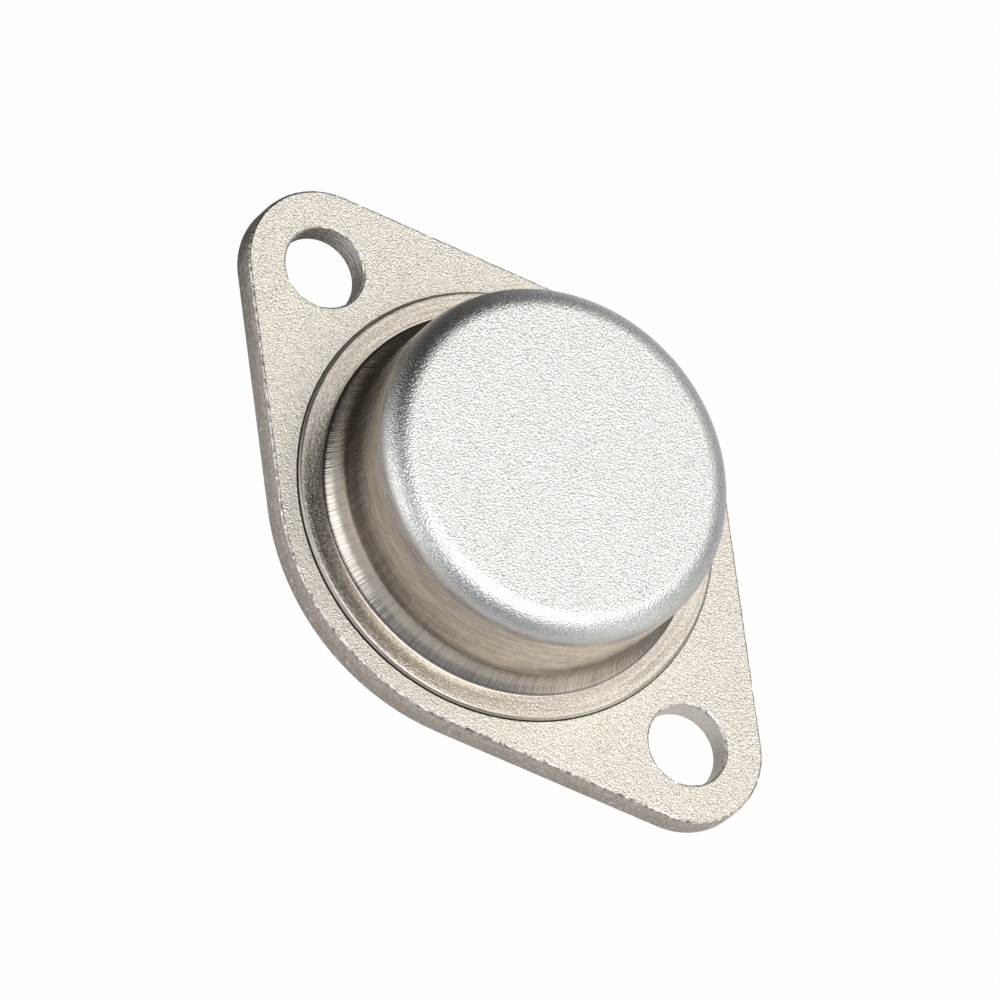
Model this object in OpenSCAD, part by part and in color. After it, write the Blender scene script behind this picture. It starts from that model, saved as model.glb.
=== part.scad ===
// Power transistor in a welded metal can: a punched steel flange carries two glass-sealed
// leads and a chip on a copper block, and a drawn steel cap is welded over them.
// Origin: middle of the flat mounting face. +X runs along the two mounting holes,
// +Z points up through the cap, and the leads hang down along -Z. Millimetres.

/* [Flange] */
// Distance between the centres of the two mounting holes
hole_spacing = 30.15; // [30:0.05:30.3]
// Diameter of the two mounting holes
hole_diameter = 4.2; // [3.9:0.05:4.3]
// Width of metal round each mounting hole at the flange's ends
hole_margin = 2.1; // [2:0.05:2.5]
// Width of flange that shows outside the brim at the flange's middle
flange_rim = 1.1; // [0.8:0.05:1.5]
// Thickness of the flange plate
flange_thickness = 1.5; // [1.4:0.05:1.7]
// Radius that punching leaves along the plate's upper edges
punched_edge_r = 0.15; // [0.08:0.01:0.25]

/* [Cap] */
// Outside diameter of the drawn can
cap_diameter = 19; // [18.4:0.1:19.4]
// Height of the cap's top above the mounting face
cap_top = 8.4; // [7.8:0.05:9]
// Thickness of the cap's sheet
sheet = 0.4; // [0.3:0.05:0.5]
// Outside radius of the bend between the wall and the top
top_bend_r = 1.45; // [1:0.05:1.8]
// Width of the flared foot between the can's wall and the brim's flat
flare_width = 0.75; // [0.7:0.01:0.8]
// Radius of the hollow bend at the foot's lower end
foot_bend_r = 0.5; // [0.4:0.05:0.6]
// Lean of the foot's face from level where the brim's flat cuts it off
press_lean = 20; // [15:1:25]
// Lean of the foot's face from level where the bend passes into the flare
flare_lean = 50; // [45:1:55]
// Lean of the foot's face from level where the flare meets the wall
wall_lean = 80; // [76:1:84]
// Width of the brim outside the can's wall
brim_width = 1.95; // [1.7:0.05:2.2]
// Thickness of the brim after the weld press has flattened it
brim_thickness = 0.22; // [0.2:0.01:0.3]
// Radius along the brim's upper outer edge
brim_edge_r = 0.17; // [0.1:0.01:0.18]
// Height of the weld ring that holds the brim off the flange
weld_height = 0.05; // [0.04:0.01:0.08]
// Distance of the weld ring from the brim's edge
weld_inset = 0.5; // [0.4:0.05:0.6]
// Width of the weld ring
weld_width = 0.6; // [0.4:0.05:0.7]

/* [Leads] */
// Diameter of each lead
lead_diameter = 1; // [0.97:0.01:1.1]
// Distance between the two leads
lead_spacing = 10.92; // [10.7:0.01:11.1]
// Distance of the leads' line from the flange's middle
lead_offset = 1.825; // [1.6:0.025:2.1]
// Length of each lead below the mounting face
lead_length = 10; // [8:0.5:12]
// Length of the chamfer at each lead's tip
lead_chamfer = 0.2; // [0.1:0.05:0.3]
// Height of each lead's head above the flange's upper face
lead_rise = 2.4; // [2:0.1:3]
// Diameter of each lead's flattened head
lead_head_diameter = 1.8; // [1.5:0.1:2.2]
// Thickness of each lead's flattened head
lead_head_thickness = 0.35; // [0.25:0.05:0.5]

/* [Glass seals] */
// Diameter of the hole that each seal fills in the flange
seal_diameter = 3.4; // [3:0.1:3.8]
// Depth of each seal's two faces below the flange's faces
seal_recess = 0.12; // [0.05:0.01:0.2]
// Radius of the glass that creeps along each lead
seal_creep_r = 0.35; // [0.2:0.05:0.5]

/* [Chip] */
// Length of the copper block along the holes' line
spreader_length = 8; // [7:0.5:9]
// Gap between the copper block and each seal
spreader_gap = 0.56; // [0.4:0.02:0.8]
// Thickness of the copper block
spreader_thickness = 1.2; // [0.8:0.1:1.6]
// Side of the square silicon chip
die_side = 4; // [3.5:0.1:4.5]
// Thickness of the silicon chip
die_thickness = 0.25; // [0.2:0.05:0.4]
// Thickness of the solder under the chip
solder_thickness = 0.08; // [0.05:0.01:0.15]
// Width of the solder that shows round the chip
solder_margin = 0.2; // [0.1:0.05:0.3]

/* [Bonded wires] */
// Diameter of the bonded wires
wire_diameter = 0.38; // [0.25:0.01:0.5]
// Place of the wires' feet on the chip, along the holes' line
pad_x = 0.6; // [0:0.1:1]
// Distance of the wires' feet from the chip's edge
pad_inset = 0.9; // [0.8:0.1:1.2]
// Angle that each wire's arch turns through
arch_angle = 100; // [80:5:120]
// Length of each wire's flattened foot
foot_length = 0.9; // [0.7:0.1:1.2]
// Width of each wire's flattened foot
foot_width = 0.55; // [0.5:0.05:0.7]
// Thickness of each wire's flattened foot
foot_thickness = 0.16; // [0.12:0.01:0.25]

/* [Hidden] */
$fn = 96;
// A little more, so that a cutter passes through the face that it cuts
over = 0.5;

// Flange: the direction that each straight side faces, and its length between the round parts
hole_x = hole_spacing / 2;
hole_r = hole_diameter / 2;
end_r = hole_r + hole_margin;
cap_r = cap_diameter / 2;
brim_r = cap_r + brim_width;
middle_r = brim_r + flange_rim;
side_angle = acos((middle_r - end_r) / hole_x);
side_length = hole_x * sin(side_angle);

// Cap: the middles of the two hollow curves of its foot, and the height where the flare meets the wall
brim_under = flange_thickness + weld_height;
brim_top = brim_under + brim_thickness;
bend_x = cap_r + flare_width + foot_bend_r * sin(press_lean);
bend_z = brim_top + foot_bend_r * cos(press_lean);
flare_run = flare_width - foot_bend_r * (sin(flare_lean) - sin(press_lean));
flare_r = flare_run / (sin(wall_lean) - sin(flare_lean));
flare_x = bend_x + (flare_r - foot_bend_r) * sin(flare_lean);
flare_z = bend_z + (flare_r - foot_bend_r) * cos(flare_lean);
function flare_top(depth) = flare_z - sqrt(pow(flare_r + depth, 2) - pow(flare_x - cap_r + depth, 2));
weld_inner_r = brim_r - weld_inset - weld_width;

// Leads and seals
lead_y = lead_spacing / 2;
lead_r = lead_diameter / 2;
lead_head_top = flange_thickness + lead_rise;
seal_r = seal_diameter / 2;

// Chip and wires: each arch stands on a line from the chip's pad to the lead's head
spreader_width = lead_spacing - seal_diameter - 2 * spreader_gap;
spreader_top = flange_thickness + spreader_thickness;
die_base = spreader_top + solder_thickness;
die_top = die_base + die_thickness;
solder_side = die_side + 2 * solder_margin;
pad_y = die_side / 2 - pad_inset;
wire_run = norm([lead_offset - pad_x, lead_y - pad_y]);
wire_heading = atan2(lead_y - pad_y, lead_offset - pad_x);
wire_climb = lead_head_top - die_top;
wire_slope = atan2(wire_climb, wire_run);
arch_r = norm([wire_run, wire_climb]) / 2 / sin(arch_angle / 2);
arch_drop = arch_r * cos(arch_angle / 2);
arch_x = wire_run / 2 + arch_drop * sin(wire_slope);
arch_z = wire_climb / 2 - arch_drop * cos(wire_slope);
arch_start = 90 + wire_slope - arch_angle / 2;

// Section of the plate from its middle to an edge: square below, rounded above
module plate_section(reach) {
    square([reach, flange_thickness - punched_edge_r]);
    square([reach - punched_edge_r, flange_thickness]);
    translate([reach - punched_edge_r, flange_thickness - punched_edge_r])
        circle(r = punched_edge_r);
}

// A round part of the plate
module plate_disc(radius) {
    rotate_extrude()
        plate_section(radius);
}

// A straight side of the plate: the section run along the line that touches two round parts
module plate_side() {
    rotate([0, 0, side_angle])
        rotate([90, 0, 0])
            linear_extrude(height = side_length)
                plate_section(middle_r);
}

// One half of the plate, with the round part at its end
module plate_half() {
    plate_side();
    mirror([0, 1, 0])
        plate_side();
    translate([hole_x, 0, 0])
        plate_disc(end_r);
}

// A punched hole whose upper mouth is rounded like the plate's edge
module punched_hole(radius) {
    translate([0, 0, -over])
        cylinder(r = radius, h = flange_thickness + 2 * over);
    rotate_extrude()
        difference() {
            translate([0, flange_thickness - punched_edge_r])
                square([radius + punched_edge_r, punched_edge_r + over]);
            translate([radius + punched_edge_r, flange_thickness - punched_edge_r])
                circle(r = punched_edge_r);
        }
}

// Places a piece at one of the two leads
module at_lead(side) {
    translate([lead_offset, side * lead_y, 0])
        children();
}

module header() {
    color([0.80, 0.76, 0.69])
        difference() {
            union() {
                plate_disc(middle_r);
                plate_half();
                mirror([1, 0, 0])
                    plate_half();
            }
            for (side = [-1, 1]) {
                translate([side * hole_x, 0, 0])
                    punched_hole(hole_r);
                at_lead(side)
                    translate([0, 0, -over])
                        cylinder(r = seal_r, h = flange_thickness + 2 * over);
            }
        }
}

// The air outside the cap's flared foot, grown into the metal by a depth
module foot_air(depth) {
    translate([bend_x, bend_z])
        circle(r = foot_bend_r + depth);
    intersection() {
        translate([flare_x, flare_z])
            circle(r = flare_r + depth);
        translate([0, bend_z - (foot_bend_r + depth) * cos(flare_lean)])
            square([bend_x, flare_r]);
    }
}

// The cap's outline seen from outside, from the axis to the brim's edge
module cap_outside() {
    translate([0, brim_under]) {
        square([cap_r, cap_top - top_bend_r - brim_under]);
        square([cap_r - top_bend_r, cap_top - brim_under]);
        square([brim_r - brim_edge_r, brim_thickness]);
        square([brim_r, brim_thickness - brim_edge_r]);
    }
    translate([cap_r - top_bend_r, cap_top - top_bend_r])
        circle(r = top_bend_r);
    intersection() {
        translate([brim_r - brim_edge_r, brim_top - brim_edge_r])
            circle(r = brim_edge_r);
        translate([0, brim_top - brim_edge_r])
            square([brim_r + over, brim_edge_r + over]);
    }
    difference() {
        translate([0, brim_under])
            square([bend_x, flare_top(0) - brim_under]);
        foot_air(0);
    }
}

// The space under the cap: the same outline, one sheet further in
module cap_inside() {
    square([cap_r - sheet, cap_top - top_bend_r]);
    square([cap_r - top_bend_r, cap_top - sheet]);
    translate([cap_r - top_bend_r, cap_top - top_bend_r])
        circle(r = top_bend_r - sheet);
    difference() {
        square([bend_x, flare_top(sheet)]);
        foot_air(sheet);
    }
}

module cap() {
    color([0.78, 0.78, 0.77])
        rotate_extrude() {
            difference() {
                cap_outside();
                cap_inside();
            }
            translate([weld_inner_r, flange_thickness])
                square([weld_width, weld_height + brim_thickness / 2]);
        }
}

// A lead: a chamfered tip below, a flattened head above
module lead(side) {
    color([0.74, 0.72, 0.68])
        at_lead(side) {
            translate([0, 0, -lead_length])
                cylinder(r1 = lead_r - lead_chamfer, r2 = lead_r, h = lead_chamfer);
            translate([0, 0, lead_chamfer - lead_length])
                cylinder(r = lead_r, h = lead_length - lead_chamfer + lead_head_top);
            translate([0, 0, lead_head_top - lead_head_thickness])
                cylinder(d = lead_head_diameter, h = lead_head_thickness);
        }
}

module base_lead() {
    lead(-1);
}

module emitter_lead() {
    lead(1);
}

// Half section of the glass that creeps along a lead from a seal's upper face
module seal_creep() {
    translate([0, -seal_recess])
        square([lead_r + seal_creep_r, seal_recess]);
    difference() {
        square(lead_r + seal_creep_r);
        translate([lead_r + seal_creep_r, seal_creep_r])
            circle(r = seal_creep_r);
        translate([0, seal_creep_r])
            square(lead_r + seal_creep_r);
    }
}

// A glass bead that fills the hole round one lead
module seal(side) {
    color([0.20, 0.26, 0.24])
        at_lead(side)
            rotate_extrude()
                difference() {
                    union() {
                        translate([0, seal_recess])
                            square([seal_r, flange_thickness - 2 * seal_recess]);
                        translate([0, flange_thickness - seal_recess])
                            seal_creep();
                        translate([0, seal_recess])
                            mirror([0, 1])
                                seal_creep();
                    }
                    translate([0, -lead_length])
                        square([lead_r, 2 * lead_length]);
                }
}

module base_seal() {
    seal(-1);
}

module emitter_seal() {
    seal(1);
}

// A square or oblong block that stands on a given height, about the chip's axis
module block(length, width, base, height) {
    translate([-length / 2, -width / 2, base])
        cube([length, width, height]);
}

module heat_spreader() {
    color([0.72, 0.45, 0.30])
        block(spreader_length, spreader_width, flange_thickness, spreader_thickness);
}

module die_solder() {
    color([0.66, 0.66, 0.68])
        block(solder_side, solder_side, spreader_top, solder_thickness);
}

module die() {
    color([0.33, 0.34, 0.38])
        block(die_side, die_side, die_base, die_thickness);
}

// A wire's flattened end, round at both ends, lying on a pad
module wire_foot() {
    linear_extrude(height = foot_thickness) {
        translate([-foot_length / 2, -foot_width / 2])
            square([foot_length, foot_width]);
        for (end = [-1, 1])
            translate([end * foot_length / 2, 0])
                circle(d = foot_width);
    }
}

// The round arch between two feet, cut off level with the pads that it stands on
module wire_arch() {
    difference() {
        translate([arch_x, 0, arch_z])
            rotate([90, 0, 0])
                rotate([0, 0, arch_start])
                    rotate_extrude(angle = arch_angle)
                        translate([arch_r, 0])
                            circle(d = wire_diameter);
        translate([-over, -over, -2 * over])
            cube([wire_run / 2, 2 * over, 2 * over]);
        translate([wire_run - over, -over, wire_climb - 2 * over])
            cube([2 * over, 2 * over, 2 * over]);
    }
}

// A bonded wire from the chip's pad to a lead's head
module wire(side) {
    color([0.83, 0.84, 0.85])
        mirror([0, side < 0 ? 1 : 0, 0])
            translate([pad_x, pad_y, die_top])
                rotate([0, 0, wire_heading]) {
                    wire_foot();
                    wire_arch();
                    translate([wire_run, 0, wire_climb])
                        wire_foot();
                }
}

module base_wire() {
    wire(-1);
}

module emitter_wire() {
    wire(1);
}

header();
cap();
base_lead();
emitter_lead();
base_seal();
emitter_seal();
heat_spreader();
die_solder();
die();
base_wire();
emitter_wire();
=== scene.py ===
# %% [markdown]
# # A power transistor in a welded metal can
# The real part is a punched steel flange with two screw holes, a drawn steel cap welded on top of it, and
# two stiff leads that leave the underside through beads of glass. The chip sits inside, out of sight.
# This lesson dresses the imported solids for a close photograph: smooth lathe and outline meshes take the
# place of the solids that show, and every finish is made from nodes. All lengths here are millimetres,
# turned into metres when a mesh is made.

import math

import bmesh
import bpy
from mathutils import Matrix, Vector, noise


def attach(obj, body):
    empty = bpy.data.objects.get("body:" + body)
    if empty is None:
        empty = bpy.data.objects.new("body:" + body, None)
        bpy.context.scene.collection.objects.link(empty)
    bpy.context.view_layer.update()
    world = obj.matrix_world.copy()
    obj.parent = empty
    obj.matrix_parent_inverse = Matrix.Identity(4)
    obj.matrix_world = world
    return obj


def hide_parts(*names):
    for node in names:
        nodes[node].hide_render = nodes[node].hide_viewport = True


MM = 0.001
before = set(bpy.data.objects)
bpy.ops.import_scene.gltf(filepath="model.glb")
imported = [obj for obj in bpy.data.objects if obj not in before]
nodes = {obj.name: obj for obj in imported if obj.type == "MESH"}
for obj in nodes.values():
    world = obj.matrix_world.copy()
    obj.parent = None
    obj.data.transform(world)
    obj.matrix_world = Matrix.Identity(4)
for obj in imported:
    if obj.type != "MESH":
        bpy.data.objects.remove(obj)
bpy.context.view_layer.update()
print("CAD nodes:", ", ".join(sorted(nodes)))

# %% [markdown]
# ## The camera
# The photograph is a close-up through a very long lens: parallel edges hardly converge. Such a camera can
# be set by hand in the viewport, but six numbers say it exactly: the point it aims at, its distance, its
# direction in two angles, how far it is rolled about its own axis, and the lens. A rolled camera keeps
# the object lying straight along its own axes while the picture shows it on the slant.

# %% Camera
AIM = Vector((-0.425, -0.098, 1.5)) * MM
DISTANCE = 558.375 * MM
HEADING = math.radians(2.757)
ELEVATION = math.radians(57.658)
ROLL = math.radians(50.432)
LENS = 399.7
SENSOR = 36

ahead = Vector((-math.sin(HEADING) * math.cos(ELEVATION),
                math.cos(HEADING) * math.cos(ELEVATION),
                -math.sin(ELEVATION)))
level_right = Vector((math.cos(HEADING), math.sin(HEADING), 0))
level_up = level_right.cross(ahead)
turn = Matrix((level_right, level_up, -ahead)).transposed().to_4x4()
camera = bpy.data.objects.new("camera", bpy.data.cameras.new("camera"))
camera.data.lens = LENS
camera.data.sensor_width = SENSOR
camera.data.clip_start = 0.05
camera.data.clip_end = 30
camera.matrix_world = Matrix.Translation(AIM - ahead * DISTANCE) @ turn @ Matrix.Rotation(ROLL, 4, "Z")
bpy.context.scene.collection.objects.link(camera)
bpy.context.scene.camera = camera
print("camera stands at", [round(v / MM, 1) for v in camera.location], "mm")

# %% [markdown]
# ## Turning a section round an axis
# The cap, the leads and the glass beads are all round, so each is drawn as a half section and turned, as
# on a lathe. The Spin or Screw tools do the same job by hand. Here the rings are written straight into a
# mesh, which gives an exact number of faces and lets each ring follow the section's arcs closely, so that
# long reflections run along the metal without kinks.

# %% Arc and mesh helpers
def arc(centre, radius, start, end, count):
    """Points of an arc in a half section, from one angle to another, in degrees."""
    points = []
    for step in range(count + 1):
        angle = math.radians(start + (end - start) * step / count)
        points.append((centre[0] + radius * math.cos(angle), centre[1] + radius * math.sin(angle)))
    return points


def new_piece(name, points, faces, sharp=32):
    """Makes an object from points in millimetres, smooth except at edges sharper than the given angle."""
    mesh = bpy.data.meshes.new(name)
    mesh.from_pydata([(x * MM, y * MM, z * MM) for x, y, z in points], [], faces)
    work = bmesh.new()
    work.from_mesh(mesh)
    bmesh.ops.recalc_face_normals(work, faces=work.faces)
    work.to_mesh(mesh)
    work.free()
    mesh.polygons.foreach_set("use_smooth", [True] * len(mesh.polygons))
    mesh.set_sharp_from_angle(angle=math.radians(sharp))
    piece = bpy.data.objects.new(name, mesh)
    bpy.context.scene.collection.objects.link(piece)
    return piece


# %% Lathe
def lathe(name, section, steps, centre=(0, 0), closed=False):
    """Turns a half section of (radius, height) points; a point on the axis becomes one pole."""
    points = []
    rings = []
    for radius, height in section:
        first = len(points)
        if radius < 1e-6:
            points.append((centre[0], centre[1], height))
            rings.append([first] * steps)
            continue
        for step in range(steps):
            angle = 2 * math.pi * step / steps
            x = centre[0] + radius * math.cos(angle)
            y = centre[1] + radius * math.sin(angle)
            points.append((x, y, height))
        rings.append(list(range(first, first + steps)))
    if closed:
        rings.append(rings[0])
    faces = []
    for lower, upper in zip(rings, rings[1:]):
        for step in range(steps):
            after = (step + 1) % steps
            corners = [lower[step], lower[after], upper[after], upper[step]]
            faces.append(list(dict.fromkeys(corners)))
    return new_piece(name, points, faces)


def dress(piece, slot, *stands_for):
    """Sets a piece on the part's one body, in the place of its CAD nodes."""
    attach(piece, "root")
    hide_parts(*stands_for)
    print(f"{piece.name}: {len(piece.data.polygons)} faces for {', '.join(stands_for)}")

# %% [markdown]
# ## The drawn cap
# The cap starts as a disc of thin steel sheet that is drawn into a cup. Its wall ends in a steep flare,
# where the sheet slid over the edge of the tool, and a small hollow bend leads from the flare to the
# brim. The weld press then flattens the brim, and a ring under it melts into the flange. The bends are
# small, but each mirrors a different part of the studio as a fine line all round, so they are modelled
# and not left to a bump map. The centres of the two hollow arcs follow from the flare's width and the
# leans where they meet.

# %% The cap's foot
WALL_R = 9.5
FLAT_R = 10.25
BRIM_TOP = 1.77
FOOT_BEND = 0.5
PRESS_LEAN = 20
FLARE_LEAN = 50
WALL_LEAN = 80


def leaning(centre, radius, start, end, count):
    """A hollow arc given by how far its faces lean from level, at the start and at the end."""
    return arc(centre, radius, 270 - start, 270 - end, count)


press, low, high = (math.radians(lean) for lean in (PRESS_LEAN, FLARE_LEAN, WALL_LEAN))
bend = (FLAT_R + FOOT_BEND * math.sin(press), BRIM_TOP + FOOT_BEND * math.cos(press))
flare_run = FLAT_R - WALL_R - FOOT_BEND * (math.sin(low) - math.sin(press))
flare_r = flare_run / (math.sin(high) - math.sin(low))
grow = flare_r - FOOT_BEND
flare = (bend[0] + grow * math.sin(low), bend[1] + grow * math.cos(low))
flare_top = flare[1] - flare_r * math.cos(high)
print("flare radius", round(flare_r, 2), "mm, meets the wall at", round(flare_top, 2), "mm")

# %% Cap
CAP_TOP = 8.4
TOP_BEND = 1.45
SHEET = 0.4
FLANGE_TOP = 1.5
BRIM_R = 11.45
BRIM_UNDER = 1.55
BRIM_EDGE = 0.17
BRIM_LOWER_EDGE = 0.04
WELD_INNER_R = 10.35
WELD_OUTER_R = 10.95
CAP_STEPS = 480

bend_middle = (WALL_R - TOP_BEND, CAP_TOP - TOP_BEND)
section = [(radius, CAP_TOP) for radius in (0, 2, 4, 6, 7.4, 7.95)]
section += arc(bend_middle, TOP_BEND, 90, 0, 30)
section += [(WALL_R, height) for height in (6.85, 6.5, 6, 5.4, 4.8, 4.2, 3.6)]
section += leaning(flare, flare_r, WALL_LEAN, FLARE_LEAN, 12)
section += leaning(bend, FOOT_BEND, FLARE_LEAN, PRESS_LEAN, 10)[1:]
section += [(radius, BRIM_TOP) for radius in (10.3, 10.5, 10.8, 11.1)]
section += arc((BRIM_R - BRIM_EDGE, BRIM_TOP - BRIM_EDGE), BRIM_EDGE, 90, 0, 9)
section += arc((BRIM_R - BRIM_LOWER_EDGE, BRIM_UNDER + BRIM_LOWER_EDGE), BRIM_LOWER_EDGE, 0, -90, 4)
section += [(WELD_OUTER_R, BRIM_UNDER), (WELD_OUTER_R, FLANGE_TOP)]
section += [(WELD_INNER_R, FLANGE_TOP), (WELD_INNER_R, BRIM_UNDER)]
section += leaning(bend, FOOT_BEND + SHEET, 40, FLARE_LEAN, 4)
section += leaning(flare, flare_r + SHEET, FLARE_LEAN, WALL_LEAN, 8)[1:]
section += arc(bend_middle, TOP_BEND - SHEET, 0, 90, 14)
section += [(0, CAP_TOP - SHEET)]
cap = lathe("drawn_cap", section, CAP_STEPS)
dress(cap, "cap_nickel", "cap")

# %% [markdown]
# ## The punched flange
# The flange is punched from thick strip. Two round ends and a round middle are joined by straight sides
# that touch them, and the punch leaves the upper edges rounded and a little ragged. A boolean of discs
# would give the outline, but its edges are hard to round evenly. Here the outline and every hole are
# walked as loops of points, and each loop carries the same edge section, so the rounding and its small
# nicks are real geometry.

# %% Outline loops
HOLE_X = 15.075
END_R = 4.2
MIDDLE_R = 12.55
EDGE_STEP = 0.11
side_angle = math.acos((MIDDLE_R - END_R) / HOLE_X)


def arc_loop(centre_x, radius, start, end):
    """Points along an arc of the outline, each with the direction that faces out of the metal."""
    count = max(8, round(abs(end - start) * radius / EDGE_STEP))
    walk = []
    for step in range(count):
        angle = start + (end - start) * step / count
        out = Vector((math.cos(angle), math.sin(angle)))
        walk.append((Vector((centre_x, 0)) + out * radius, out))
    return walk


def side_loop(angle, begin, finish):
    """Points along a straight side that faces one direction."""
    out = Vector((math.cos(angle), math.sin(angle)))
    count = round((finish - begin).length / EDGE_STEP)
    return [(begin.lerp(finish, step / count), out) for step in range(count)]


def flange_outline():
    """The whole outline, anticlockwise from the end beside the leads."""
    walk = []
    for turned in (0, math.pi):
        sign = 1 if turned == 0 else -1
        first = turned + side_angle
        second = turned + math.pi - side_angle
        faces = [Vector((math.cos(a), math.sin(a))) for a in (first, second)]
        end_a = Vector((sign * HOLE_X, 0))
        walk += arc_loop(sign * HOLE_X, END_R, turned - side_angle, first)
        walk += side_loop(first, end_a + faces[0] * END_R, faces[0] * MIDDLE_R)
        walk += arc_loop(0, MIDDLE_R, first, second)
        walk += side_loop(second, faces[1] * MIDDLE_R, -end_a + faces[1] * END_R)
    return walk


def hole_loop(x, y, radius):
    """A round hole: the way out of the metal points to its middle."""
    count = round(2 * math.pi * radius / EDGE_STEP)
    walk = []
    for step in range(count):
        angle = 2 * math.pi * step / count
        out = Vector((-math.cos(angle), -math.sin(angle)))
        walk.append((Vector((x, y)) - out * radius, out))
    return walk


outline = flange_outline()
print("outline points:", len(outline), "side faces", round(math.degrees(side_angle), 1), "degrees")

# %% [markdown]
# The edge section runs from the upper face, round the punched edge, down the side and round the lower
# edge. A real punched edge is never perfectly even, so a smooth noise along the loop draws the edge in by
# a few hundredths of a millimetre, and by up to a tenth in a nick. It only ever takes metal away, so the
# piece stays inside its box.

# %% Edge strips
EDGE_R = 0.15
LOWER_EDGE_R = 0.05
TRIM = 0.006
WAVE_DEPTH = 0.012
SMALL_DEPTH = 0.032
NICK_DEPTH = 0.13


def edge_section(upper, lower):
    """(inset, height) pairs from the upper face to the lower face."""
    pairs = [(upper, FLANGE_TOP)]
    for step in range(1, 8):
        angle = math.radians(90 * step / 7)
        pairs.append((upper - upper * math.sin(angle), FLANGE_TOP - upper + upper * math.cos(angle)))
    pairs += [(0, 1.1), (0, 0.75), (0, 0.4), (0, lower)]
    for step in range(1, 4):
        angle = math.radians(90 * step / 3)
        pairs.append((lower - lower * math.cos(angle), lower - lower * math.sin(angle)))
    return pairs


def raggedness(place, height):
    """How far the edge is drawn in at a place: long waves and small nicks, in millimetres."""
    wave = 0.5 + 0.5 * noise.noise(Vector((place.x * 0.9, place.y * 0.9, 3.1)))
    small = 0.5 + 0.5 * noise.noise(Vector((place.x * 3.6, place.y * 3.6, 7.7 + height * 0.8)))
    nick = max(0, noise.noise(Vector((place.x * 2.1, place.y * 2.1, 21.4))) - 0.3)
    return WAVE_DEPTH * wave + SMALL_DEPTH * small + NICK_DEPTH * nick


def edge_rings(points, faces, walk, ragged, upper, lower):
    """Adds one loop's edge strip and returns its upper and lower rings of point numbers."""
    rings = []
    for inset, height in edge_section(upper, lower):
        first = len(points)
        for place, out in walk:
            pull = 0
            if ragged and inset < upper:
                near_edge = min(1, max(0, (height - FLANGE_TOP + 2.2 * upper) / upper))
                pull = raggedness(place, height) * near_edge
            spot = place - out * (inset + pull + TRIM)
            drop = 0.4 * pull if 0 < inset < upper else 0
            points.append((spot.x, spot.y, height - drop))
        rings.append(range(first, first + len(walk)))
    for above, below in zip(rings, rings[1:]):
        for step in range(len(walk)):
            after = (step + 1) % len(walk)
            faces.append((above[step], above[after], below[after], below[step]))
    return rings[0], rings[-1]

# %% [markdown]
# The five loops are the outline, the two screw holes and the two holes for the glass. Their strips go
# into one mesh, and Blender's triangle fill then closes the upper and the lower face between all the
# rings at once, as Fill does in Edit Mode. The level faces stay flat shaded, so that no shading leaks in
# from the rounded edge.

# %% Flange
HOLE_R = 2.1
LEAD_X = 1.825
LEAD_Y = 5.46
SEAL_R = 1.7
GLASS_EDGE_R = 0.02
LEVEL = 0.9999

loops = [(outline, True, EDGE_R, LOWER_EDGE_R)]
loops += [(hole_loop(x, 0, HOLE_R), True, EDGE_R, LOWER_EDGE_R) for x in (-HOLE_X, HOLE_X)]
loops += [(hole_loop(LEAD_X, y, SEAL_R), False, GLASS_EDGE_R, GLASS_EDGE_R) for y in (-LEAD_Y, LEAD_Y)]
points = []
faces = []
upper_rings = []
lower_rings = []
for walk, ragged, upper, lower in loops:
    top, bottom = edge_rings(points, faces, walk, ragged, upper, lower)
    upper_rings.append(top)
    lower_rings.append(bottom)

mesh = bpy.data.meshes.new("flange")
mesh.from_pydata([(x * MM, y * MM, z * MM) for x, y, z in points], [], faces)
work = bmesh.new()
work.from_mesh(mesh)
work.verts.ensure_lookup_table()
for rings in (upper_rings, lower_rings):
    edges = []
    for ring in rings:
        for step in range(len(ring)):
            pair = (work.verts[ring[step]], work.verts[ring[(step + 1) % len(ring)]])
            edges.append(work.edges.get(pair))
    bmesh.ops.triangle_fill(work, use_beauty=True, use_dissolve=False, edges=edges)
bmesh.ops.recalc_face_normals(work, faces=work.faces)
for face in work.faces:
    face.smooth = abs(face.normal.z) < LEVEL
work.to_mesh(mesh)
work.free()
flange = bpy.data.objects.new("flange", mesh)
bpy.context.scene.collection.objects.link(flange)
dress(flange, "flange_nickel", "header")

# %% [markdown]
# ## Leads and glass beads
# Each lead is a stiff round wire, cut and lightly rounded at its tip, with a flattened head inside the
# can. Molten glass holds it in the flange, and where the glass met the wire and the hole it crept a
# little way along both before it froze. Both pieces are round, so the lathe makes them too.

# %% Sections of lead and glass
LEAD_R = 0.5
LEAD_TIP = -10
TIP_ROUND = 0.3
LEAD_HEAD = 3.9
HEAD_R = 0.9
HEAD_UNDER = LEAD_HEAD - 0.35
HEAD_LOWER_EDGE = 0.06
HEAD_UPPER_EDGE = 0.1
SEAL_TOP = 1.38
SEAL_FOOT = 0.12
CREEP = 0.35
LIP = 0.09

lead_section = [(0, LEAD_TIP), (LEAD_R - TIP_ROUND, LEAD_TIP)]
lead_section += arc((LEAD_R - TIP_ROUND, LEAD_TIP + TIP_ROUND), TIP_ROUND, -90, 0, 8)
lead_section += [(LEAD_R, height * 0.5) for height in range(-19, 7)]
lead_section += [(LEAD_R, HEAD_UNDER), (HEAD_R - HEAD_LOWER_EDGE, HEAD_UNDER)]
lead_section += arc((HEAD_R - HEAD_LOWER_EDGE, HEAD_UNDER + HEAD_LOWER_EDGE), HEAD_LOWER_EDGE, -90, 0, 4)
lead_section += arc((HEAD_R - HEAD_UPPER_EDGE, LEAD_HEAD - HEAD_UPPER_EDGE), HEAD_UPPER_EDGE, 0, 90, 5)
lead_section += [(0, LEAD_HEAD)]

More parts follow.
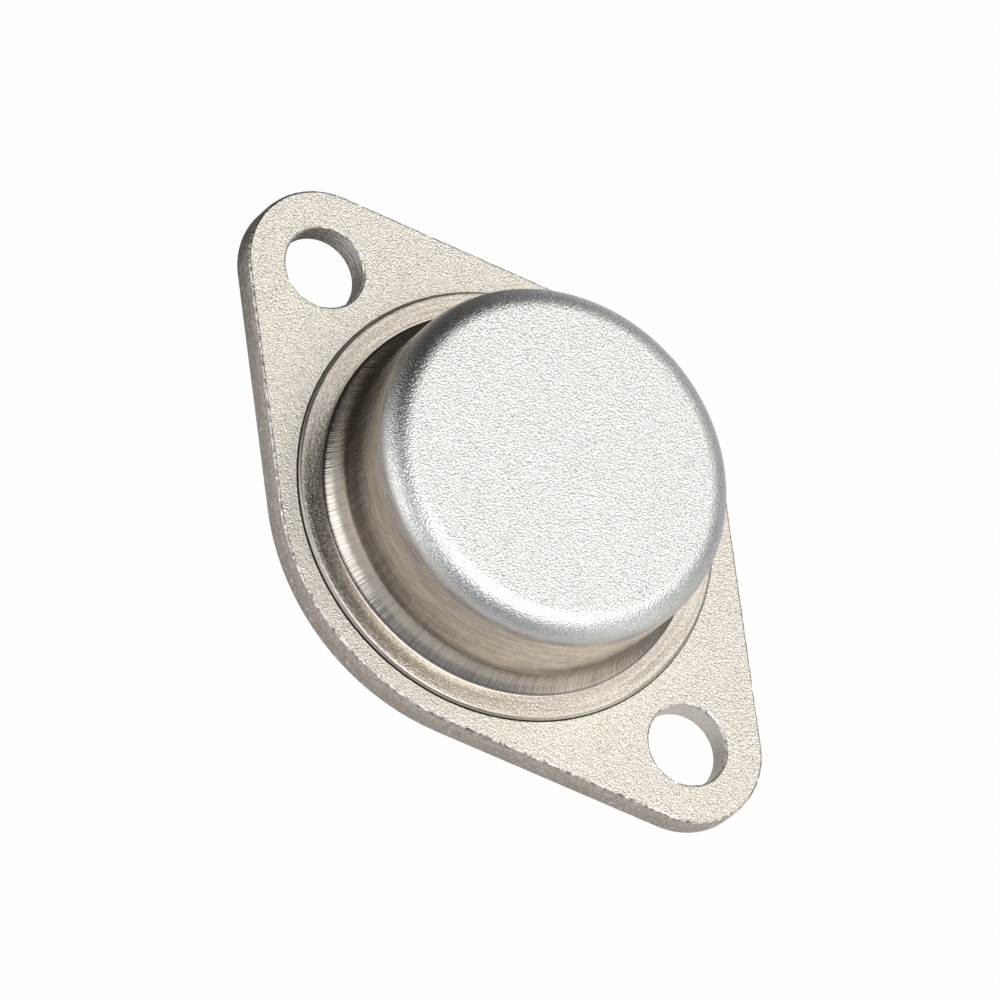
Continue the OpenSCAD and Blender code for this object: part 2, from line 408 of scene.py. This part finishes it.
seal_section = arc((LEAD_R + CREEP, SEAL_TOP + CREEP), CREEP, 180, 270, 10)
seal_section += arc((SEAL_R - LIP, SEAL_TOP + LIP), LIP, 270, 360, 6)
seal_section += arc((SEAL_R - LIP, SEAL_FOOT - LIP), LIP, 0, 90, 6)
seal_section += arc((LEAD_R + CREEP, SEAL_FOOT - CREEP), CREEP, 90, 180, 10)
print("section points:", len(lead_section), "for a lead and", len(seal_section), "for its glass")

# %% Leads and seals
LEAD_STEPS = 96
SEAL_STEPS = 128

leads = []
seals = []
for side, which in ((-1, "base"), (1, "emitter")):
    lead = lathe(which + "_lead_wire", lead_section, LEAD_STEPS, (LEAD_X, side * LEAD_Y))
    dress(lead, "lead_alloy", which + "_lead")
    seal = lathe(which + "_glass_bead", seal_section, SEAL_STEPS, (LEAD_X, side * LEAD_Y), closed=True)
    dress(seal, "seal_glass", which + "_seal")
    leads.append(lead)
    seals.append(seal)

# %% [markdown]
# ## A small bench for nodes
# Every finish below is a Principled shader fed by noise in the object's own space, so the pattern stays
# on the metal when the part turns. Wiring such trees by hand in the Shader Editor is slow, so a small
# bench of helpers adds a node, sets its plain values and links what it is given. The same bench wires the
# floor and the studio at the end.

# %% Node bench
class Bench:
    """Adds nodes to one tree, with their values set and their links made."""

    def __init__(self, tree):
        self.tree = tree

    def add(self, kind):
        return self.tree.nodes.new("ShaderNode" + kind)

    def tell(self, made):
        """Says what was made, and how far the tree has grown."""
        print(f"{made}: {len(self.tree.nodes)} nodes so far")

    def put(self, socket, value):
        """Links a socket, or sets a plain value."""
        if isinstance(value, bpy.types.NodeSocket):
            self.tree.links.new(value, socket)
        else:
            socket.default_value = value

    def vector(self, operation, first, second=None, scale=None):
        node = self.add("VectorMath")
        node.operation = operation
        self.put(node.inputs[0], first)
        if second is not None:
            self.put(node.inputs[1], second)
        if scale is not None:
            self.put(node.inputs["Scale"], scale)
        return node.outputs["Value" if operation in ("LENGTH", "DOT_PRODUCT") else "Vector"]

    def number(self, operation, first, second=0.0):
        node = self.add("Math")
        node.operation = operation
        self.put(node.inputs[0], first)
        self.put(node.inputs[1], second)
        return node.outputs[0]

    def times(self, first, second):
        return self.number("MULTIPLY", first, second)

    def plus(self, first, *others):
        for other in others:
            first = self.number("ADD", first, other)
        return first

    def ramp(self, value, low, high, start=0.0, end=1.0):
        """A smooth step from one value to another."""
        node = self.add("MapRange")
        node.interpolation_type = "SMOOTHSTEP"
        self.put(node.inputs["Value"], value)
        for name, number in (("From Min", low), ("From Max", high), ("To Min", start), ("To Max", end)):
            self.put(node.inputs[name], number)
        return node.outputs["Result"]

    def mix(self, share, first, second):
        """A blend of two colours."""
        node = self.add("Mix")
        node.data_type = "RGBA"
        self.put(node.inputs[0], share)
        for socket, colour in ((node.inputs[6], first), (node.inputs[7], second)):
            self.put(socket, (*colour, 1) if isinstance(colour, tuple) else colour)
        return node.outputs[2]

    def stain(self, tone, pattern, amount, colour):
        """Covers a tone with another colour where a pattern says, up to an amount."""
        return self.mix(self.times(pattern, amount), tone, colour)

    def split(self, vector):
        node = self.add("SeparateXYZ")
        self.put(node.inputs[0], vector)
        return node.outputs

    def join(self, x, y, z):
        node = self.add("CombineXYZ")
        for socket, value in zip(node.inputs, (x, y, z)):
            self.put(socket, value)
        return node.outputs[0]

# %% [markdown]
# A finish is a bench for one material. It turns positions into millimetres first, which lets every size
# in a finish be read as the size on the real metal, and it adds the noises, the way a face points, and
# the relief.

# %% Finish bench
class Finish(Bench):
    """A material built node by node around one Principled shader."""

    def __init__(self, name):
        self.material = bpy.data.materials.new(name)
        self.material.use_nodes = True
        super().__init__(self.material.node_tree)
        self.shader = self.tree.nodes["Principled BSDF"]
        where = self.add("TexCoord").outputs["Object"]
        self.place = self.vector("SCALE", where, scale=1 / MM)

    def grain(self, vector, per_mm, detail=2.0, roughness=0.5, distortion=0.0):
        """Noise from 0 to 1, with a given number of grains in a millimetre."""
        node = self.add("TexNoise")
        self.put(node.inputs["Vector"], vector)
        for name, number in (("Scale", per_mm), ("Detail", detail), ("Roughness", roughness),
                             ("Distortion", distortion)):
            node.inputs[name].default_value = number
        return node.outputs["Fac"]

    def specks(self, per_mm, low, high, detail=2.0, roughness=0.65):
        """Separate specks: a grain with its middle values drawn apart."""
        return self.ramp(self.grain(self.place, per_mm, detail, roughness), low, high)

    def cells(self, vector, per_mm):
        """Distance to the nearest of many scattered points."""
        node = self.add("TexVoronoi")
        self.put(node.inputs["Vector"], vector)
        node.inputs["Scale"].default_value = per_mm
        return node.outputs["Distance"]

    def facing(self):
        """How far the true face points up: 1 on top, 0 on a side, -1 below."""
        return self.split(self.add("NewGeometry").outputs["True Normal"])[2]

    def relief(self, height):
        """Turns a height in millimetres into the shader's normal."""
        node = self.add("Bump")
        node.inputs["Strength"].default_value = 1
        node.inputs["Distance"].default_value = MM
        self.put(node.inputs["Height"], height)
        self.put(self.shader.inputs["Normal"], node.outputs[0])

    def set(self, name, value):
        if isinstance(value, tuple):
            value = (*value, 1)
        self.put(self.shader.inputs[name], value)


def paint(piece, finish):
    """Gives a piece one finish, in place of any it had."""
    piece.data.materials.clear()
    piece.data.materials.append(finish.material)
    print(f"{piece.name}: {finish.material.name}, {len(finish.tree.nodes)} nodes")

# %% [markdown]
# ## The cap's finish
# One sheet, four finishes. The top and its bend are blasted, which leaves a fine silvery grain. The wall
# is smoother and browner, with faint bands round it and streaks along the way it was drawn. The flare at
# its foot keeps short bright marks that point outwards, where the sheet slid over the tool. The pressed
# brim is gritty. Four materials on four groups of faces would end in hard lines, so one material holds
# all four. Height and distance from the axis tell the zones apart, and each zone fades into the next over
# a fraction of a millimetre.

# %% Zones of the cap
cap_nickel = Finish("cap_nickel")
x, y, z = cap_nickel.split(cap_nickel.place)
flat = cap_nickel.join(x, y, 0.0)
reach = cap_nickel.vector("LENGTH", flat)
around = cap_nickel.vector("NORMALIZE", flat)

blasted = cap_nickel.ramp(z, 7.2, 7.65)
on_wall = cap_nickel.times(cap_nickel.ramp(z, 7.65, 7.2), cap_nickel.ramp(reach, 10.1, 9.9))
on_foot = cap_nickel.times(cap_nickel.ramp(z, 3.1, 2.3), cap_nickel.ramp(reach, 10.16, 10.05))
on_brim = cap_nickel.ramp(reach, 10.22, 10.32)
# Painted shade: a narrow band in the crease between the foot and the brim.
painted_crease_shade = cap_nickel.times(cap_nickel.ramp(reach, 10.03, 10.1), cap_nickel.ramp(reach, 10.25, 10.21))
cap_nickel.tell("zones of the cap")

# %% [markdown]
# The streaks, marks and bands are noise in polar coordinates: the direction from the axis is stretched so
# far that one grain becomes a line up the wall, or so little that it becomes a band round it. Blasting,
# grit and specks are plain noise at ten or more grains to a millimetre.

# %% Patterns on the cap
def polar(across, rise):
    """A place for noise: a measure round the axis, and a rise of its own."""
    return cap_nickel.vector("ADD", cap_nickel.vector("SCALE", around, scale=across),
                             cap_nickel.join(0.0, 0.0, rise))


streaks = cap_nickel.grain(polar(30.0, cap_nickel.times(z, 0.22)), 1.0, 3.0, 0.6)
outwards = cap_nickel.times(cap_nickel.plus(z, reach), 0.6)
marks = cap_nickel.ramp(cap_nickel.grain(polar(90.0, outwards), 1.0, 2.0, 0.6), 0.25, 0.75)
bands = cap_nickel.ramp(cap_nickel.grain(polar(5.0, cap_nickel.times(z, 3.0)), 1.0, 4.0, 0.65), 0.36, 0.64)
ring_place = cap_nickel.join(cap_nickel.times(reach, 6.0), cap_nickel.times(z, 6.0), 0.0)
ring_place = cap_nickel.vector("ADD", ring_place, cap_nickel.vector("SCALE", around, scale=1.5))
rings = cap_nickel.ramp(cap_nickel.grain(ring_place, 1.0, 3.0, 0.65), 0.3, 0.7)
blast = cap_nickel.grain(cap_nickel.place, 11.0, 2.0, 0.6)
peel = cap_nickel.grain(cap_nickel.place, 5.5, 2.0, 0.55)
speck = cap_nickel.specks(13.0, 0.36, 0.64, 1.0, 0.5)
grit = cap_nickel.specks(10.0, 0.36, 0.64)
cap_nickel.tell("patterns on the cap")

# %% [markdown]
# Plating is palest on the blasted top. The wall and brim were rubbed by the tools and are browner, and
# the crease between foot and brim is darkened with painted shade. Every tone is a pair of close colours,
# mixed by a pattern.

# %% Tones of the cap
satin = cap_nickel.mix(speck, (0.665, 0.67, 0.65), (0.86, 0.865, 0.838))
warm_dark = cap_nickel.mix(streaks, (0.36, 0.315, 0.265), (0.46, 0.41, 0.352))
warm_light = cap_nickel.mix(streaks, (0.55, 0.50, 0.44), (0.66, 0.61, 0.545))
warm = cap_nickel.mix(bands, warm_dark, warm_light)
warm = cap_nickel.stain(warm, grit, 0.5, (0.35, 0.302, 0.25))
foot_tone = cap_nickel.mix(marks, (0.48, 0.437, 0.383), (0.70, 0.645, 0.573))
foot_tone = cap_nickel.mix(cap_nickel.ramp(z, 2.3, 3.0, 0.0, 0.8), foot_tone, (0.58, 0.53, 0.465))
brim_dark = cap_nickel.mix(rings, (0.36, 0.33, 0.283), (0.54, 0.503, 0.445))
brim_light = cap_nickel.mix(rings, (0.51, 0.477, 0.42), (0.74, 0.705, 0.637))
brim_tone = cap_nickel.mix(grit, brim_dark, brim_light)

tone = cap_nickel.mix(cap_nickel.ramp(z, 3.3, 2.9), warm, foot_tone)
tone = cap_nickel.mix(on_brim, tone, brim_tone)
# Painted shade: the crease band is darkened here.
tone = cap_nickel.stain(tone, painted_crease_shade, 0.5, (0.2, 0.175, 0.15))
cap_nickel.set("Base Color", cap_nickel.mix(blasted, tone, satin))
cap_nickel.set("Metallic", 1.0)
cap_nickel.tell("tones of the cap")

# %% [markdown]
# Gloss and relief follow the same zones. The relief is the sum of a few heights in millimetres, each one
# a pattern that is kept to its zone: deep for the blasting, a few thousandths for the streaks.

# %% Gloss and relief of the cap
wall_gloss = cap_nickel.times(cap_nickel.ramp(streaks, 0.3, 0.7, 0.14, 0.22), on_wall)
brim_gloss = cap_nickel.times(cap_nickel.ramp(reach, 11.2, 11.32), 0.14)
off_wall = cap_nickel.number("SUBTRACT", 1.0, on_wall)
satin_gloss = cap_nickel.times(cap_nickel.ramp(peel, 0.3, 0.7, 0.18, 0.26), off_wall)
cap_nickel.set("Roughness", cap_nickel.plus(wall_gloss, brim_gloss, satin_gloss))

CAP_HEIGHTS = [
    # pattern, zone, depth in millimetres
    (blast, blasted, 0.044),
    (blast, on_brim, 0.016),
    (peel, on_wall, 0.004),
    (blast, on_wall, 0.005),
    (marks, on_foot, 0.01),
    (streaks, on_wall, 0.003),
]
heights = [cap_nickel.times(cap_nickel.times(pattern, zone), depth) for pattern, zone, depth in CAP_HEIGHTS]
cap_nickel.relief(cap_nickel.plus(*heights))
paint(cap, cap_nickel)

# %% [markdown]
# ## The flange's finish
# The strip was rolled and tumbled before plating, so its two faces carry a soft leathery stipple of about
# ten bumps to a millimetre, with darker pits between them. The punched sides have no stipple: they show
# fine upright shear lines, torn lines along the strip, grit and a browner plating. The rounded edge
# between the two is broken into short dark dashes and short painted highlights. The direction that a face
# points tells the finishes apart, so no face has to be picked by hand.

# %% Zones of the flange
flange_nickel = Finish("flange_nickel")
x, y, z = flange_nickel.split(flange_nickel.place)
up = flange_nickel.facing()
level = flange_nickel.ramp(flange_nickel.number("ABSOLUTE", up), 0.93, 0.99)
side_share = flange_nickel.number("SUBTRACT", 1.0, level)
on_edge = flange_nickel.times(flange_nickel.ramp(up, 0.2, 0.5), flange_nickel.ramp(up, 0.97, 0.9))
reach = flange_nickel.vector("LENGTH", flange_nickel.join(x, y, 0.0))
# Painted shade: a ring on the face just outside the brim, where the gap under it lies in shadow.
painted_gap_shade = flange_nickel.times(flange_nickel.ramp(reach, 11.53, 11.49), flange_nickel.ramp(z, 1.3, 1.4))
from_hole = flange_nickel.number("SUBTRACT", flange_nickel.number("ABSOLUTE", x), HOLE_X)
from_hole = flange_nickel.vector("LENGTH", flange_nickel.join(from_hole, y, 0.0))
in_hole = flange_nickel.ramp(from_hole, 2.5, 2.3)
flange_nickel.tell("zones of the flange")

# %% [markdown]
# Plain noise makes the stipple, the pits and the grit. Noise in stretched coordinates makes the lines: six
# grains to a millimetre across and less than one in height for the upright shear lines, and the other way
# round for the torn ones.

# %% Patterns on the flange
stipple = flange_nickel.grain(flange_nickel.place, 9.5, 2.0, 0.5, 0.3)
fine = flange_nickel.grain(flange_nickel.place, 15.0, 2.0, 0.5)
clouds = flange_nickel.grain(flange_nickel.place, 0.3, 3.0, 0.6)
pits = flange_nickel.specks(9.0, 0.56, 0.68, 2.0, 0.6)
upright = flange_nickel.vector("MULTIPLY", flange_nickel.place, (6.0, 6.0, 0.7))
sheared = flange_nickel.grain(upright, 1.0, 3.0, 0.65)
lengthwise = flange_nickel.vector("MULTIPLY", flange_nickel.place, (0.9, 0.9, 5.0))
torn = flange_nickel.grain(lengthwise, 1.0, 3.0, 0.6)
grit = flange_nickel.specks(7.0, 0.4, 0.6)
flecks = flange_nickel.specks(3.5, 0.62, 0.7, 2.0, 0.6)
breaks = flange_nickel.grain(flange_nickel.place, 4.0, 3.0, 0.65)
flange_nickel.tell("patterns on the flange")

# %% [markdown]
# The punch burnishes the upper part of a cut and tears the lower part, so the side has two tones that
# meet along a wavy line. In the screw holes the whole wall is burnished, and it is also painted pale, a
# painted reflection of light from below. A dark ring painted on the face is painted shade for the narrow
# gap under the cap's brim, where no light comes in.

# %% Tones of the flange
face_tone = flange_nickel.mix(clouds, (0.88, 0.835, 0.745), (0.92, 0.875, 0.79))
face_tone = flange_nickel.stain(face_tone, pits, 0.75, (0.50, 0.465, 0.41))
# Painted shade: the ring under the brim's edge is painted near black.
face_tone = flange_nickel.mix(painted_gap_shade, face_tone, (0.05, 0.045, 0.04))

wavy_z = flange_nickel.plus(z, flange_nickel.times(torn, 0.5))
burnished = flange_nickel.number("MAXIMUM", flange_nickel.ramp(wavy_z, 1.1, 1.2), in_hole)
rough_tone = flange_nickel.mix(sheared, (0.52, 0.465, 0.405), (0.72, 0.65, 0.575))
smooth_tone = flange_nickel.mix(sheared, (0.64, 0.58, 0.515), (0.80, 0.735, 0.66))
side_tone = flange_nickel.mix(burnished, rough_tone, smooth_tone)
side_tone = flange_nickel.stain(side_tone, grit, 0.55, (0.30, 0.265, 0.23))
side_tone = flange_nickel.mix(flecks, side_tone, (0.88, 0.85, 0.80))
# Painted reflection: the walls of the screw holes are painted near white, on top of their burnished tone.
side_tone = flange_nickel.stain(side_tone, in_hole, 0.7, (0.96, 0.91, 0.85))

# Painted highlights: near-white dashes along the rounded edge.
painted_glints = flange_nickel.times(flange_nickel.ramp(breaks, 0.5, 0.44), on_edge)
dashes = flange_nickel.times(flange_nickel.ramp(breaks, 0.53, 0.6), on_edge)
# The painted highlights are mixed in here, then the dark dashes.
side_tone = flange_nickel.mix(painted_glints, side_tone, (0.96, 0.94, 0.90))
side_tone = flange_nickel.stain(side_tone, dashes, 0.55, (0.12, 0.10, 0.09))
flange_nickel.set("Base Color", flange_nickel.mix(level, side_tone, face_tone))
flange_nickel.set("Metallic", 1.0)
flange_nickel.tell("tones of the flange")

# %% [markdown]
# The faces are matt, because the stipple scatters the light. The sides are a little glossier where the punch
# slid along them. The relief is the stipple on the level faces and the lines on the sides, and each is kept
# to its own faces.

# %% Gloss and relief of the flange
side_gloss = flange_nickel.times(flange_nickel.ramp(sheared, 0.3, 0.7, 0.3, 0.46), side_share)
face_gloss = flange_nickel.times(flange_nickel.ramp(fine, 0.3, 0.7, 0.42, 0.54), level)
flange_nickel.set("Roughness", flange_nickel.plus(side_gloss, face_gloss))

face_height = flange_nickel.plus(flange_nickel.times(stipple, 0.056), flange_nickel.times(fine, 0.02))
side_height = flange_nickel.plus(flange_nickel.times(sheared, 0.025), flange_nickel.times(torn, 0.06))
face_height = flange_nickel.times(face_height, level)
side_height = flange_nickel.times(side_height, side_share)
flange_nickel.relief(flange_nickel.plus(face_height, side_height))
paint(flange, flange_nickel)

# %% [markdown]
# ## Leads and glass
# The leads are plated wire with draw lines along their length: noise that is squeezed across the wire and
# drawn out along it. The glass is dark grey-green, glossy, slightly wavy and full of tiny bubbles, which
# are the nearest points of a Voronoi pattern.

# %% Lead finish
lead_nickel = Finish("lead_nickel")
along = lead_nickel.vector("MULTIPLY", lead_nickel.place, (14.0, 14.0, 0.3))
lines = lead_nickel.grain(along, 1.0, 3.0, 0.6)
lead_nickel.set("Base Color", lead_nickel.mix(lines, (0.58, 0.54, 0.48), (0.72, 0.69, 0.64)))
lead_nickel.set("Metallic", 1.0)
lead_nickel.set("Roughness", lead_nickel.ramp(lines, 0.3, 0.7, 0.26, 0.42))
lead_nickel.relief(lead_nickel.times(lines, 0.006))
for lead in leads:
    paint(lead, lead_nickel)

# %% Glass finish
bead_glass = Finish("bead_glass")
swirl = bead_glass.grain(bead_glass.place, 1.1, 4.0, 0.6, 0.8)
bubble = bead_glass.ramp(bead_glass.cells(bead_glass.place, 3.2), 0.12, 0.2)
dark_glass = bead_glass.mix(swirl, (0.018, 0.026, 0.024), (0.05, 0.062, 0.056))
bead_glass.set("Base Color", bead_glass.mix(bubble, (0.16, 0.18, 0.17), dark_glass))
bead_glass.set("Roughness", bead_glass.ramp(swirl, 0.3, 0.7, 0.08, 0.18))
bead_glass.relief(bead_glass.plus(bead_glass.times(swirl, 0.02), bead_glass.times(bubble, 0.01)))
for seal in seals:
    paint(seal, bead_glass)

# %% [markdown]
# ## The pieces inside
# The copper block, solder, chip and bonded wires are never seen in the closed can, but a section view
# shows them. Their CAD shapes are right as they are, so they stay and only get finishes. One function
# makes all four finishes, because they differ only in colour, gloss and the size of their grain.

# %% Finishes inside the can
def inner_finish(name, dark, light, metal, shine, per_mm, depth):
    """A plain worked metal or chip: two close tones, an uneven gloss and a fine relief."""
    finish = Finish(name)
    pattern = finish.grain(finish.place, per_mm, 4.0, 0.6)
    finish.set("Base Color", finish.mix(pattern, dark, light))
    finish.set("Metallic", metal)
    finish.set("Roughness", finish.ramp(pattern, 0.3, 0.7, shine, shine + 0.14))
    finish.relief(finish.times(pattern, depth))
    return finish


copper = inner_finish("bare_copper", (0.55, 0.24, 0.14), (0.72, 0.36, 0.23), 1.0, 0.28, 2.5, 0.01)
solder = inner_finish("dull_solder", (0.40, 0.40, 0.41), (0.56, 0.56, 0.57), 1.0, 0.36, 4.0, 0.02)
silicon = inner_finish("polished_silicon", (0.07, 0.075, 0.09), (0.10, 0.105, 0.125), 0.6, 0.1, 1.5, 0.002)
aluminium = inner_finish("soft_aluminium", (0.74, 0.75, 0.76), (0.84, 0.85, 0.86), 1.0, 0.3, 6.0, 0.006)
inside = {"heat_spreader": copper, "die_solder": solder, "die": silicon,
          "base_wire": aluminium, "emitter_wire": aluminium}
for name, finish in inside.items():
    paint(nodes[name], finish)

# %% [markdown]
# ## The floor
# The part stands on the tips of its leads on a plain pale sweep. The camera sees the floor as white
# paper, so most of what it sees is plain emission and the rest keeps a soft shadow. The metal mirrors the
# floor too, and there the paper is left to the light that falls on it. On the left the paper's colour fades
# to dark grey, a painted shade like a sweep's dark end, and the cap's wall shows that as its dark side.
# From below the floor is clear, so that the underside can be looked at.

# %% Floor
HALF = 4.0
LEFT = (-0.94, 0.342, 0)
CAMERA_SHARE = 0.98
MIRROR_SHARE = 0.03

floor_mesh = bpy.data.meshes.new("floor")
floor_corners = [(-HALF, -HALF, 0), (HALF, -HALF, 0), (HALF, HALF, 0), (-HALF, HALF, 0)]
floor_mesh.from_pydata(floor_corners, [], [(0, 1, 2, 3)])
floor = bpy.data.objects.new("floor", floor_mesh)
floor.location.z = LEAD_TIP * MM
bpy.context.scene.collection.objects.link(floor)

sweep = Finish("pale_floor")
leftward = sweep.vector("DOT_PRODUCT", sweep.vector("NORMALIZE", sweep.place), LEFT)
paper = sweep.add("BsdfDiffuse")
# Painted shade: the paper's colour darkens from 0.66 to 0.1 towards the left.
sweep.put(paper.inputs["Color"], sweep.ramp(leftward, 0.7, 0.92, 0.66, 0.1))
white = sweep.add("Emission")
white.inputs["Color"].default_value = (1, 1, 1, 1)
clear = sweep.add("BsdfTransparent")

rays = sweep.add("LightPath").outputs
mirrored = sweep.number("MAXIMUM", rays["Is Glossy Ray"], rays["Is Transmission Ray"])
seen = sweep.times(rays["Is Camera Ray"], CAMERA_SHARE)
shown = sweep.plus(sweep.times(mirrored, MIRROR_SHARE), seen)
below = sweep.add("NewGeometry").outputs["Backfacing"]


def layered(share, first, second):
    """A blend of two of the floor's shaders."""
    node = sweep.add("MixShader")
    for socket, value in zip(node.inputs, (share, first, second)):
        sweep.put(socket, value)
    return node.outputs[0]


lit = layered(shown, paper.outputs[0], white.outputs[0])
sweep.tree.nodes.remove(sweep.shader)
sweep.put(sweep.tree.nodes["Material Output"].inputs["Surface"], layered(below, lit, clear.outputs[0]))
paint(floor, sweep)

# %% [markdown]
# ## The studio
# Metal is mostly what it reflects, so the studio matters more than any lamp. Area lamps and cards would
# do the same, but a world painted as a few broad soft patches by direction is quicker to adjust: white
# overhead and behind the part, a bright card low at the front left, a paler one low on the right, dark on
# the left, and dim where the camera stands. Each patch fades out between an inner and an outer angle.

# %% Studio
DIM_ROOM = (0.30, 0.31, 0.33)
PATCHES = [
    # heading and elevation in degrees, inner and outer angle of the soft patch, colour
    ("sky", 20, 80, 22, 42, (0.85, 0.84, 0.83)),
    ("behind", 94, 56, 16, 32, (1.3, 1.27, 1.23)),
    ("by the camera", -110, 46, 12, 28, (0.24, 0.25, 0.27)),
    ("left", 165, 30, 38, 56, (0.05, 0.046, 0.042)),
    ("front left", -127, 14, 19, 32, (1.8, 1.81, 1.84)),
    ("right", 15, 12, 12, 30, (1.2, 1.19, 1.17)),
    ("overhead", 5, 80, 12, 27, (3.6, 3.6, 3.6)),
]


def direction(heading, elevation):
    """A unit vector towards a heading and an elevation in degrees."""
    turned = math.radians(heading)
    raised = math.radians(elevation)
    level = math.cos(raised)
    return Vector((math.cos(turned) * level, math.sin(turned) * level, math.sin(raised)))


world = bpy.data.worlds.new("studio")
bpy.context.scene.world = world
world.use_nodes = True
studio = Bench(world.node_tree)
toward = studio.add("TexCoord").outputs["Generated"]
tone = DIM_ROOM
for name, heading, elevation, inner, outer, colour in PATCHES:
    nearness = studio.vector("DOT_PRODUCT", toward, direction(heading, elevation))
    soft = studio.ramp(nearness, math.cos(math.radians(outer)), math.cos(math.radians(inner)))
    tone = studio.mix(soft, tone, colour)
    tone.node.label = name
studio.put(studio.tree.nodes["Background"].inputs["Color"], tone)
print("studio patches:", ", ".join(patch[0] for patch in PATCHES))

# %% [markdown]
# ## Picture settings
# The Standard view shows colours as they are written.

# %% Picture settings
bpy.context.scene.view_settings.view_transform = "Standard"
